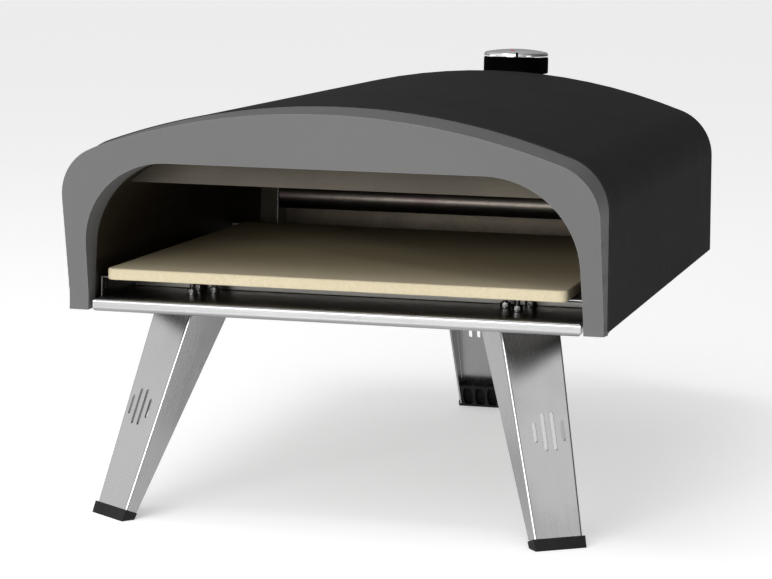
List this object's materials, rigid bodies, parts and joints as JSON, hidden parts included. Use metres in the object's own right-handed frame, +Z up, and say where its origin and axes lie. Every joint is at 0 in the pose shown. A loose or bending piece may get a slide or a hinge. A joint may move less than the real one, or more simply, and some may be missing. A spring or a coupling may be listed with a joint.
{
  "type": "countertop pizza oven",
  "caption": "Portable gas pizza oven: arched insulated hood with a raked front bezel, open mouth over a sliding baking stone, folding channel legs and a push-and-turn valve knob.",
  "frame": {"origin": "on the table, under the middle of the footprint's bounding box", "axes": "+Y from the mouth to the back, +X to the right of someone facing the mouth, +Z up"},
  "size_m": [0.3978, 0.6384, 0.3261],
  "materials": {
    "hood_paint": "matte charcoal powder coat, fine texture",
    "bezel_paint": "satin mid grey paint",
    "polished_steel": "polished stainless",
    "leg_steel": "brushed stainless, grain along the leg",
    "floor_steel": "heat-tinted stainless",
    "liner_steel": "dark heat-stained steel",
    "header_steel": "taupe heat-tinted steel",
    "zinc_steel": "bright zinc",
    "bracket_steel": "galvanised",
    "burner_steel": "heat-tinted stainless",
    "insulation": "ceramic fibre blanket",
    "stone": "cordierite, fine grain",
    "brass": "machined brass",
    "copper": "copper",
    "ceramic": "glazed white ceramic",
    "black_rubber": "matte black rubber",
    "knob_plastic": "black phenolic",
    "knob_chrome": "bright chrome, domed"
  },
  "bodies": {
    "chassis": {"hood_shell": "hood_paint", "rear_panel": "hood_paint", "valve_housing": "hood_paint", "front_bezel": "bezel_paint", "front_lip_bar": "polished_steel", "stone_ledge_left": "polished_steel", "stone_ledge_right": "polished_steel", "burner_bracket_left": "polished_steel", "burner_bracket_right": "polished_steel", "knob_ring": "polished_steel", "floor_pan": "floor_steel", "floor_tray": "floor_steel", "liner_tunnel": "liner_steel", "liner_rear_wall": "liner_steel", "liner_header": "header_steel", "leg_pin_front_left": "zinc_steel", "leg_pin_front_right": "zinc_steel", "leg_pin_rear": "zinc_steel", "hood_screw_1": "zinc_steel", "hood_screw_2": "zinc_steel", "hood_screw_3": "zinc_steel", "hood_screw_4": "zinc_steel", "housing_screw_1": "zinc_steel", "housing_screw_2": "zinc_steel", "venturi_tube": "zinc_steel", "gas_pipe": "zinc_steel", "igniter_wire": "zinc_steel", "leg_bolt_front_left_1": "zinc_steel", "leg_bolt_front_left_2": "zinc_steel", "leg_bolt_front_left_3": "zinc_steel", "leg_bolt_front_right_1": "zinc_steel", "leg_bolt_front_right_2": "zinc_steel", "leg_bolt_front_right_3": "zinc_steel", "leg_bolt_rear_1": "zinc_steel", "leg_bolt_rear_2": "zinc_steel", "leg_bolt_rear_3": "zinc_steel", "leg_bracket_front_left": "bracket_steel", "leg_bracket_front_right": "bracket_steel", "leg_bracket_rear": "bracket_steel", "burner_tube": "burner_steel", "insulation_blanket": "insulation", "gas_valve_body": "brass", "gas_inlet_nipple": "brass", "gas_injector": "brass", "gas_inlet_pipe": "copper", "thermocouple_probe": "copper", "thermocouple_lead": "copper", "igniter_insulator": "ceramic", "ignition_lead": "black_rubber"},
    "leg_front_left": {"leg_front_left": "leg_steel", "foot_front_left": "black_rubber"},
    "leg_front_right": {"leg_front_right": "leg_steel", "foot_front_right": "black_rubber"},
    "leg_rear": {"leg_rear": "leg_steel", "foot_rear": "black_rubber"},
    "stone": {"pizza_stone": "stone"},
    "valve_stem": {"valve_stem": "zinc_steel"},
    "knob": {"knob_grip": "knob_plastic", "knob_cap": "knob_chrome"}
  },
  "joints": [
    {"name": "front_left_leg_fold", "type": "hinge", "parent": "chassis", "child": "leg_front_left", "pos_m": [-0.1202, -0.2111, 0.1487], "axis": [0.7934, -0.6088, 0], "range_deg": [0, 112]},
    {"name": "front_right_leg_fold", "type": "hinge", "parent": "chassis", "child": "leg_front_right", "pos_m": [0.1202, -0.2111, 0.1487], "axis": [0.7934, 0.6088, 0], "range_deg": [0, 112]},
    {"name": "rear_leg_fold", "type": "hinge", "parent": "chassis", "child": "leg_rear", "pos_m": [-0.0085, 0.20225, 0.1487], "axis": [-1, 0, 0], "range_deg": [0, 112]},
    {"name": "stone_slide", "type": "slide", "parent": "chassis", "child": "stone", "axis": [0, -1, 0], "range_m": [0, 0.36]},
    {"name": "knob_push", "type": "slide", "parent": "chassis", "child": "valve_stem", "axis": [0, 0, -1], "range_m": [0, 0.0035], "stiffness_N_per_m": 600, "springref_m": -0.003},
    {"name": "knob_turn", "type": "hinge", "parent": "valve_stem", "child": "knob", "pos_m": [0.014, 0.28725, 0.3045], "axis": [0, 0, 1], "range_deg": [0, 180]}
  ]
}
